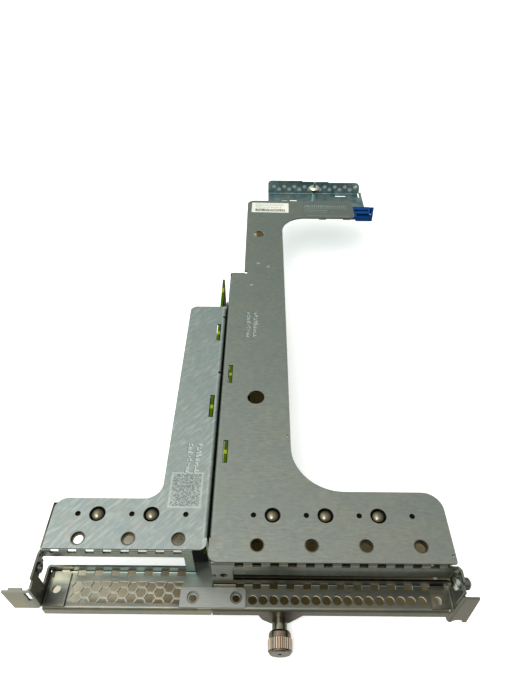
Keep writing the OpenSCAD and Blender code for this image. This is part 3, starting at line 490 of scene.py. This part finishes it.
floor_paint = bpy.data.materials.new("floor_paint")
floor_paint.use_nodes = True
tree = floor_paint.node_tree
face = tree.nodes["Principled BSDF"]
along = put(tree, "ShaderNodeSeparateXYZ",
            {0: put(tree, "ShaderNodeTexCoord").outputs["Object"]}).outputs["X"]
shade = ramp(tree, spread(tree, along, -0.1, 0.1), [
    (0.02, (0.86, 0.74, 0.58)), (0.14, (0.64, 0.53, 0.39)), (0.32, (0.34, 0.26, 0.16)),
    (0.44, (0.12, 0.085, 0.03)), (0.70, (0.15, 0.105, 0.04)), (0.98, (0.27, 0.20, 0.11))])
shaded = 0.0
for patch in ((-102, -5.7, -30, 14.6, 1), (-33, -5.8, 97, 36, 1.6), (97, 6, 107, 34, 1),
              (-76, 27, -22, 40, 4), (-39, 46, -20, 195, 3), (-14, 36, 17, 205, 3),
              (-3, 205, 17, 346, 3)):
    shaded = maths(tree, "MAXIMUM", shaded, floor_box(tree, *patch))
# The painted shade is almost black behind the right slot wall and in the gap between the
# brackets.
black = maths(tree, "MAXIMUM", floor_box(tree, -33, 15, -17, 40, 1.5),
              floor_box(tree, -33, 11, 108, 21, 0.8))
shade = blend(tree, black, shade, (0.02, 0.022, 0.022, 1))
# Painted shade on the floor under the lip.
under_lip = maths(tree, "MULTIPLY", floor_box(tree, -82, -9, -32, -0.6, 1.4), 0.6)
shade = blend(tree, under_lip, shade, (0.15, 0.11, 0.055, 1))
# Seen at a low angle the floor shows no more than the lamps' own soft shadow.
slant = put(tree, "ShaderNodeLayerWeight", {"Blend": 0.5}).outputs["Facing"]
shaded = maths(tree, "MULTIPLY", shaded, spread(tree, slant, 0.50, 0.58, 1, 0))
# The floor behind the dots of the tray's far wall is painted a dull grey shade, seen at one
# slant only.
shade_behind_tray = maths(tree, "MULTIPLY", floor_box(tree, 12, 416.5, 107, 436.5, 3),
               spread(tree, slant, 0.48, 0.51, 0, 1))
shade_behind_tray = maths(tree, "MULTIPLY", shade_behind_tray, spread(tree, slant, 0.57, 0.59, 1, 0))
shade = blend(tree, shade_behind_tray, shade, (0.20, 0.225, 0.225, 1))
shaded = maths(tree, "MAXIMUM", shaded, shade_behind_tray)
# What the eye sees is white or in that shade. Soft light bounces off as from a workbench.
bright = blend(tree, shaded, WHITE_FLOOR, shade)
rays = put(tree, "ShaderNodeLightPath").outputs
shown = maths(tree, "ADD", rays["Is Camera Ray"], rays["Is Glossy Ray"])
shown = maths(tree, "ADD", shown, rays["Is Transmission Ray"], clamp=True)
tree.links.new(blend(tree, shown, WORKBENCH, bright), face.inputs["Base Color"])
seen = maths(tree, "MULTIPLY", spread(tree, shaded, 0, 0.4, 1, 0), rays["Is Camera Ray"])
tree.links.new(blend(tree, seen, (0, 0, 0, 1), FLOOR_GLOW), face.inputs["Emission Color"])
face.inputs["Emission Strength"].default_value = 1.0
face.inputs["Roughness"].default_value = 0.9
face.inputs["Specular IOR Level"].default_value = 0.1
floor.data.materials.append(floor_paint)
print("floor paint nodes:", len(tree.nodes))

# %% [markdown]
# ## Stamped and etched marks
# A cage like this carries stamped rows and an etched square. Here each becomes something
# generic: rows of short strokes that spell nothing, and a square of fine dots.

# %% Marks on the sheets
def stamped(corner, width, height, columns, count, pale, dark):
    """Columns of broken pale strokes, each with a painted shadow offset to its left."""
    def add(tree, colour, relief):
        def broken(x, y):
            place = (corner[0] + x, corner[1] + y, corner[2])
            blocks = strokes(tree, place, width, height, columns, count, 0.85, 1.1, 0.62)
            bits = strokes(tree, place, width, height, columns * 6, count * 3, 1.0, 0.62, 1.3)
            return maths(tree, "MULTIPLY", blocks["Mark"], bits["Mark"])
        stroke = broken(0, 0)
        colour = blend(tree, maths(tree, "MULTIPLY", broken(-0.45, -0.3), 0.75), colour, dark)
        colour = blend(tree, maths(tree, "MULTIPLY", stroke, 0.85), colour, pale)
        return colour, maths(tree, "SUBTRACT", relief, maths(tree, "MULTIPLY", stroke, 2.0))
    return add


def etched_square(corner, width, height, cells, pale, dark):
    """A field of dark dots in a pale border."""
    def add(tree, colour, relief):
        border = strokes(tree, corner, width, height, 1, 1, 1.1, 1.1, 1.1)["Inside"]
        inner = (corner[0] + 1, corner[1] + 1, corner[2])
        dots = strokes(tree, inner, width - 2, height - 2, cells, cells, 1.4, 0.48, 1.6)
        border = maths(tree, "SUBTRACT", border, dots["Inside"], clamp=True)
        colour = blend(tree, maths(tree, "MULTIPLY", border, 0.45), colour, pale)
        colour = blend(tree, maths(tree, "MULTIPLY", dots["Mark"], 0.45), colour, dark)
        pits = maths(tree, "SUBTRACT", dots["Inside"], dots["Mark"], clamp=True)
        colour = blend(tree, maths(tree, "MULTIPLY", pits, 0.22), colour, pale)
        return colour, relief
    return add


pale_zinc = (0.62, 0.66, 0.63, 1)
dark_zinc = (0.12, 0.14, 0.13, 1)
# Painted shade darkens the far walls of the holes in a sheet, and a painted highlight lightens
# the long fold by the gap.
far_wall_shade = zone((-300, -300, 40.5), (300, 500, 43), (0.30, 0.25, 0.20), 0.1, 0,
                 ((0, -1, 0), 0.5, 0.8))
fold_highlight = zone((-21.6, 0, 39.5), (-19.3, 200, 42.1), (1.3, 1.3, 1.28), 0.2, 0,
            ((0.707, 0, 0.707), 0.2, 0.75))
left_hole_shade = [ring(x, 11.4, (0.16, 0.13, 0.10)) for x in (-79.6, -56.2, -32.8)]
right_hole_shade = [ring(x, 8.8, (0.35, 0.32, 0.25)) for x in (3.9, 29.2, 54.5, 79.8)]
left_marks = left_hole_shade + [
    fold_highlight, etched_square((-40.2, 27, TOP_Z), 16.4, 20, 30, pale_zinc, dark_zinc),
    stamped((-33.4, 46.8, TOP_Z), 9, 18.5, 2, 8, pale_zinc, dark_zinc), far_wall_shade]
right_marks = right_hole_shade + [
    stamped((-5.0, 148, TOP_Z), 9, 25, 2, 9, pale_zinc, dark_zinc), far_wall_shade]
print("marks on the left sheet:", len(left_marks), "on the right sheet:", len(right_marks))

# %% Painted light and shade on the brackets
# Each zone is a box's two corners, a colour to multiply by, an edge and its unevenness.
# Most zones are painted light and shade, a few only tint: numbers under one paint shade
# under the sheets, on the lip's front and in corners, and numbers over one paint light where
# the shelf and the ears catch more of it than the walls.
UP = ((0, 0, 1), 0.6, 0.9)
FRONT = ((0, -1, 0), 0.6, 0.95)
FRONT_UP = ((0, -0.707, 0.707), 0.85, 0.97)
right_bracket_light_and_shade = [
    zone((-20, 16, 20), (97, 34, 60), (0.04, 0.035, 0.03), 2),
    zone((-20, 3, 20), (20, 16, 60), (0.14, 0.11, 0.04), 3, 2),
    zone((20, 3, 20), (97, 16, 60), (0.50, 0.40, 0.30), 3, 2),
    zone((-200, -13, -1), (200, -10.6, 60), (0.52, 0.42, 0.30), 0.2, 0.4, FRONT),
    zone((-20, -0.5, 22.6), (97, 1.4, 24.1), (0.10, 0.10, 0.09), 0.2, 0, UP),
    zone((97, -14, 0), (115, 2, 30), (1.05, 1.0, 0.9), 1, 3),
    zone((-20, -1, 18), (90, 1.3, 23), (0.80, 0.82, 0.80), 1, 1),
    zone((86, -10.5, 17), (95, -2, 20.5), (1.6, 1.5, 1.5), 1, 1),
    zone((95, -10, 18), (98.2, 3, 40), (1.4, 1.5, 1.6), 0.5, 1)]
left_bracket_light_and_shade = [
    zone((-97, 16, 20), (-20, 34, 60), (0.04, 0.035, 0.025), 2),
    zone((-97, 8, 20), (-20, 16, 60), (0.80, 0.65, 0.50), 2, 2),
    zone((-200, -13, -1), (200, -10.6, 60), (0.88, 0.78, 0.62), 0.2, 0.6, FRONT),
    zone((-120, -12.5, 17), (0, -10.6, 19), (1.0, 0.93, 0.82), 0.2, 0.5, FRONT_UP),
    zone((-90, -10, 17), (-38, 8, 19), (2.1, 2.1, 2.05), 6, 3, UP),
    zone((-84, 2.6, 16), (-24, 7, 24), (0.85, 0.93, 0.97), 0.8, 0.5),
    zone((-96, -11.6, 17), (-24, -8.6, 19), (0.50, 0.47, 0.48), 0.6, 0.6),
    zone((-99, -10.6, 17), (-86, -3.5, 20.5), (0.36, 0.37, 0.37), 1.5, 1),
    zone((-112, -20, 0), (-101, 2, 30), (1.35, 1.15, 0.98), 1, 2),
    zone((-99.5, -9, 19), (-95.5, 5, 42), (0.55, 0.50, 0.50), 1, 1),
    zone((-96, 0, 17.8), (-84, 6, 22), (2.2, 2.1, 1.9), 1.2, 0.8, UP),
    zone((-34, -10, 17), (-10, 12, 36), (1.0, 1.08, 1.08), 2, 3)]
print("wear zones:", len(right_bracket_light_and_shade), len(left_bracket_light_and_shade))

# %% Sheet metals
right_zinc = metal("right_zinc", (0.285, 0.295, 0.262), 0.40, streak=0.22, along=260.0,
                   across=950.0, crevice_shade=0.3, marks=right_marks,
                   patches=(((0.235, 0.28, 0.275), 50, 0.6, 1),
                            ((0.34, 0.32, 0.24), 80, 0.4, 7),
                            ((0.24, 0.245, 0.22), 300, 0.4, 3)))
left_zinc = metal("left_zinc", (0.335, 0.365, 0.345), 0.42, streak=0.10, streak_turn=-0.85,
                  along=300.0, across=1500.0, rub=0.55, crevice_shade=0.3, marks=left_marks,
                  patches=(((0.27, 0.35, 0.36), 120, 0.6, 2), ((0.43, 0.39, 0.37), 160, 0.4, 5),
                           ((0.26, 0.29, 0.27), 420, 0.4, 8)))
# The brackets' darker, warmer shade is a painted reflection of a dim, warm workbench.
right_bracket_zinc = metal("right_bracket_zinc", (0.175, 0.165, 0.125), 0.36,
                           patches=(((0.12, 0.14, 0.13), 60, 0.6, 3),),
                           bare_wall_highlight=(0.80, 0.74, 0.64), marks=right_bracket_light_and_shade)
left_bracket_zinc = metal("left_bracket_zinc", (0.22, 0.225, 0.19), 0.36,
                          patches=(((0.16, 0.20, 0.20), 60, 0.6, 4),
                                   ((0.29, 0.26, 0.19), 160, 0.35, 11)),
                          bare_wall_highlight=(0.95, 0.90, 0.84), marks=left_bracket_light_and_shade)
splice_zinc = metal("splice_zinc", (0.31, 0.315, 0.29), 0.36, streak=0.08,
                    patches=(((0.27, 0.30, 0.30), 90, 0.5, 5),), bare_wall_highlight=(0.95, 0.92, 0.88))
blank_zinc = metal("blank_zinc", (0.14, 0.15, 0.12), 0.38,
                   patches=(((0.10, 0.13, 0.12), 60, 0.5, 6),))
tray_zinc = metal("tray_zinc", (0.37, 0.48, 0.49), 0.40,
                  patches=(((0.12, 0.22, 0.25), 130, 0.9, 7), ((0.30, 0.29, 0.24), 90, 0.5, 9)))
print("sheet metals:", [m.name for m in bpy.data.materials if "zinc" in m.name])

# %% Marks for turned parts
def steep_side_shade(colour, least=0.95, full=0.6):
    """Painted shade: another, darker colour where a domed or turned part stops looking up."""
    def add(tree, shade, relief):
        steep = spread(tree, looks_towards(tree, (0, 0, 1), full, least), 0, 1, 1, 0)
        return blend(tree, steep, shade, tuple(colour) + (1,)), relief
    return add


def beyond(x, z, radius, colour):
    """Another colour farther than a radius from an axis that runs along Y."""
    def add(tree, shade, relief):
        place = put(tree, "ShaderNodeSeparateXYZ",
                    {0: put(tree, "ShaderNodeTexCoord").outputs["Object"]}).outputs
        away = maths(tree, "POWER", maths(tree, "ADD", maths(
            tree, "POWER", maths(tree, "SUBTRACT", place["X"], x * MM), 2.0), maths(
                tree, "POWER", maths(tree, "SUBTRACT", place["Z"], z * MM), 2.0)), 0.5)
        share = spread(tree, away, (radius - 0.1) * MM, (radius + 0.1) * MM)
        return blend(tree, share, shade, tuple(colour) + (1,)), relief
    return add


EVERYWHERE = ((-300, -300, -300), (300, 500, 300))
knob_x, knob_z = 15, 6.5
groove_r = 5.45
# Painted highlight on the knurled band beyond the groove radius, and painted shade on faces
# that look towards -Y.
knob_highlight_and_shade = [beyond(knob_x, knob_z, groove_r, (0.55, 0.42, 0.33)),
              zone(*EVERYWHERE, (0.45, 0.36, 0.28), 0.1, 0, ((0, -1, 0), 0.7, 0.9))]
print("knob axis at", (knob_x, knob_z))

# %% Plated fasteners
# The studs' darker sloping rims are painted shade.
stud_plate = metal("stud_plate", (0.27, 0.23, 0.17), 0.20, streak=0.02, bump=0.02,
                   patches=(((0.16, 0.13, 0.07), 500, 0.5, 1),), crevice_shade=0.9,
                   marks=[steep_side_shade((0.10, 0.075, 0.045))])
screw_plate = metal("screw_plate", (0.50, 0.50, 0.46), 0.22, streak=0.02, bump=0.02,
                    patches=(((0.25, 0.25, 0.23), 400, 0.3, 1),))
dark_plate = metal("dark_plate", (0.16, 0.15, 0.13), 0.22, streak=0.02, bump=0.02,
                   patches=(((0.08, 0.07, 0.06), 300, 0.4, 2),))
nickel = metal("nickel", (0.16, 0.125, 0.095), 0.15, streak=0.05, bump=0.03,
               patches=(((0.30, 0.23, 0.16), 300, 0.5, 3),), marks=knob_highlight_and_shade, crevice_shade=0.8)
ferrule_plate = metal("ferrule_plate", (0.20, 0.19, 0.155), 0.12, streak=0.05, bump=0.03,
                      patches=(((0.30, 0.28, 0.14), 250, 0.5, 3),), crevice_shade=0.2)
blue_zinc = metal("blue_zinc", (0.55, 0.85, 0.90), 0.28, streak=0.05, bump=0.02,
                  metallic=0.5, patches=(((0.3, 0.55, 0.6), 400, 0.4, 4),))
# The tray screw head's near-white top is a painted highlight, and its darker sides are painted
# shade.
yellow_plate = metal("yellow_plate", (0.95, 0.95, 0.85), 0.24, streak=0.03, bump=0.02,
                     patches=(((0.55, 0.50, 0.38), 300, 0.4, 5),),
                     marks=[steep_side_shade((0.35, 0.30, 0.20), 0.75, 0.35)])
print("platings ready")

# %% [markdown]
# ## Boards, plastics and labels
# These are not metal. A riser board is a glass laminate under green solder mask, with gold
# contacts on its lower edge. The handle is moulded in blue plastic with a faint gloss. The
# paper label has rows of generic strokes, and the film label lies clear on the arm.

# %% Plain moulded and laminated finishes
def moulded(name, shade, roughness, grain_size=900.0, vary=0.08, bump=0.15, gloss=0.5,
            marks=()):
    """A finish without metal. vary says how far its shade wanders."""
    made = bpy.data.materials.new(name)
    made.use_nodes = True
    tree = made.node_tree
    skin = tree.nodes["Principled BSDF"]
    place = put(tree, "ShaderNodeTexCoord").outputs["Object"]
    grain = put(tree, "ShaderNodeTexNoise", {"Vector": place, "Scale": grain_size,
                                             "Detail": 2.0})
    mist = noise_of(tree, 80.0)
    colour = blend(tree, mist, shade_of(shade, 1 - vary), shade_of(shade, 1 + vary))
    for mark in marks:
        colour, _ = mark(tree, colour, None)
    tree.links.new(colour, skin.inputs["Base Color"])
    rough = spread(tree, mist, 0, 1, roughness - 0.06, roughness + 0.06)
    tree.links.new(rough, skin.inputs["Roughness"])
    skin.inputs["Specular IOR Level"].default_value = gloss
    relief = put(tree, "ShaderNodeBump", {"Strength": bump, "Distance": 0.0001,
                                          "Height": grain.outputs[0]})
    tree.links.new(relief.outputs[0], skin.inputs["Normal"])
    return made


def printed(corner, width, height, cells, count, fill, share, gap, ink, depth, turn=0.0):
    """A row or block of printed strokes for a label."""
    def add(tree, colour, relief):
        mark = strokes(tree, corner, width, height, cells, count, fill, share, gap,
                       turn)["Mark"]
        return blend(tree, maths(tree, "MULTIPLY", mark, depth), colour, ink), relief
    return add


# %% The labels
label_low, label_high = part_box("part_label")
film_low, film_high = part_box("film_label")
label_x, label_y = label_low.x / MM, label_low.y / MM
LABEL_WIDTH, LABEL_HEIGHT = 31.8, 15.8
LABEL_TURN = radians(1.2)
CORNER_RISE = 0.66
INK = (0.03, 0.028, 0.02, 1)
FILM_INK = (0.62, 0.67, 0.68, 1)


def label_row(u, v, width, height, cells, fill, share, gap, depth):
    """A row of print at a share of the paper label's width and height."""
    x = label_x + u * LABEL_WIDTH
    y = label_y + CORNER_RISE + v * LABEL_HEIGHT - u * LABEL_WIDTH * sin(LABEL_TURN)
    return printed((x, y, label_high.z / MM), width * LABEL_WIDTH, height * LABEL_HEIGHT,
                   cells, 1, fill, share, gap, INK, depth, LABEL_TURN)


label_print = [
    label_row(0.10, 0.84, 0.76, 0.07, 44, 0.9, 0.80, 0.65, 0.75),
    label_row(0.10, 0.69, 0.80, 0.07, 48, 0.9, 0.85, 0.65, 0.75),
    label_row(0.12, 0.50, 0.70, 0.08, 40, 0.9, 0.80, 0.65, 0.75),
    label_row(0.09, 0.10, 0.82, 0.30, 30, 0.95, 0.97, 0.72, 0.95)]
paper = moulded("paper", (0.84, 0.82, 0.73), 0.7, grain_size=2500, vary=0.03, bump=0.05,
                gloss=0.3, marks=label_print)
film_x, film_y, film_z = film_low.x / MM, film_low.y / MM, film_high.z / MM


def film_row(x, y, width, height, cells, fill, share, gap, depth):
    """A row of print at a place on the film label."""
    return printed((film_x + x, film_y + y, film_z), width, height, cells, 1, fill, share,
                   gap, FILM_INK, depth)


film_print = [
    film_row(1, 15.0, 37, 4.0, 22, 0.95, 0.9, 0.6, 0.65),
    film_row(1, 12.8, 38, 0.5, 1, 1.4, 1.1, 1.6, 0.6),
    film_row(1, 9.6, 20, 1.4, 9, 0.9, 0.9, 0.7, 0.6),
    film_row(1, 6.6, 26, 1.2, 12, 0.9, 0.8, 0.7, 0.4),
    film_row(2, 0.4, 37, 0.8, 1, 1.4, 1.1, 1.6, 0.7)]
clear_film = metal("clear_film", (0.275, 0.285, 0.255), 0.34, streak=0.10, along=420.0,
                   across=1500.0, patches=(((0.24, 0.28, 0.27), 45, 0.5, 1),),
                   marks=film_print)
print("labels at", (round(label_x, 1), round(label_y, 1)),
      (round(film_x, 1), round(film_y, 1)))

# %% Boards and plastics
TONGUE_MIDDLES = ((89.0, 91.6), (150.6, 153.4), (58.6, 61.0), (114.4, 116.6))
BOARD_TIP = (196, 201)
TONGUE_FOOT_Z = 40.4
FINGER_TOP_Z, FINGER_PITCH, FINGER_SHARE = 10.0, 1.0, 0.68


def tongue_middle(tree, colour, relief):
    """A copper-yellow field in the middle of each tongue of a riser board."""
    place = put(tree, "ShaderNodeSeparateXYZ",
                {0: put(tree, "ShaderNodeTexCoord").outputs["Object"]}).outputs
    mask = 0.0
    for low, high in TONGUE_MIDDLES:
        mask = maths(tree, "ADD", mask, within(tree, place["Y"], low * MM, high * MM),
                     clamp=True)
    mask = maths(tree, "MULTIPLY", mask,
                 maths(tree, "GREATER_THAN", place["Z"], TONGUE_FOOT_Z * MM))
    tip = within(tree, place["Y"], BOARD_TIP[0] * MM, BOARD_TIP[1] * MM)
    mask = maths(tree, "ADD", mask, tip, clamp=True)
    return blend(tree, mask, colour, (0.30, 0.33, 0.01, 1)), relief


def gold_fingers(tree, colour, relief):
    """Plated contacts along the lower edge of a riser board."""
    place = put(tree, "ShaderNodeSeparateXYZ",
                {0: put(tree, "ShaderNodeTexCoord").outputs["Object"]}).outputs
    low = maths(tree, "LESS_THAN", place["Z"], FINGER_TOP_Z * MM)
    pitch = maths(tree, "FRACT", maths(tree, "DIVIDE", place["Y"], FINGER_PITCH * MM))
    bar = maths(tree, "LESS_THAN", pitch, FINGER_SHARE)
    return blend(tree, maths(tree, "MULTIPLY", low, bar), colour, (0.60, 0.42, 0.12, 1)), relief


board_mask = moulded("board_mask", (0.045, 0.095, 0.0), 0.6, gloss=0.06, grain_size=1500,
                     vary=0.15, marks=[tongue_middle, gold_fingers])
connector_black = moulded("connector_black", (0.012, 0.012, 0.013), 0.5)
handle_blue = moulded("handle_blue", (0.001, 0.045, 0.19), 0.45, vary=0.12, gloss=0.12)
print("plastics ready")

# %% Give every solid its finish
finishes = {
    "right_top_sheet": right_zinc, "left_top_sheet": left_zinc,
    "right_rear_bracket": right_bracket_zinc, "left_rear_bracket": left_bracket_zinc,
    "splice_plate": splice_zinc, "domed_studs": stud_plate, "slot_blank": blank_zinc,
    "blank_screw": screw_plate, "dome_nut": dark_plate, "clinch_nut": left_bracket_zinc,
    "left_riser_board": board_mask, "right_riser_board": board_mask,
    "left_slot_connector": connector_black, "right_slot_connector": connector_black,
    "board_standoffs": screw_plate, "board_screws": screw_plate, "screw_ferrule": ferrule_plate,
    "screw_shank": ferrule_plate, "screw_knob": nickel, "far_tray": tray_zinc,
    "tray_bushing": tray_zinc, "tray_screw_shaft": blue_zinc,
    "tray_screw_head": yellow_plate, "touch_handle": handle_blue, "part_label": paper,
    "film_label": clear_film,
}
for name, piece in nodes.items():
    piece.data.materials.clear()
    piece.data.materials.append(finishes[name])
print("finished solids:", len(finishes), "of", len(nodes))
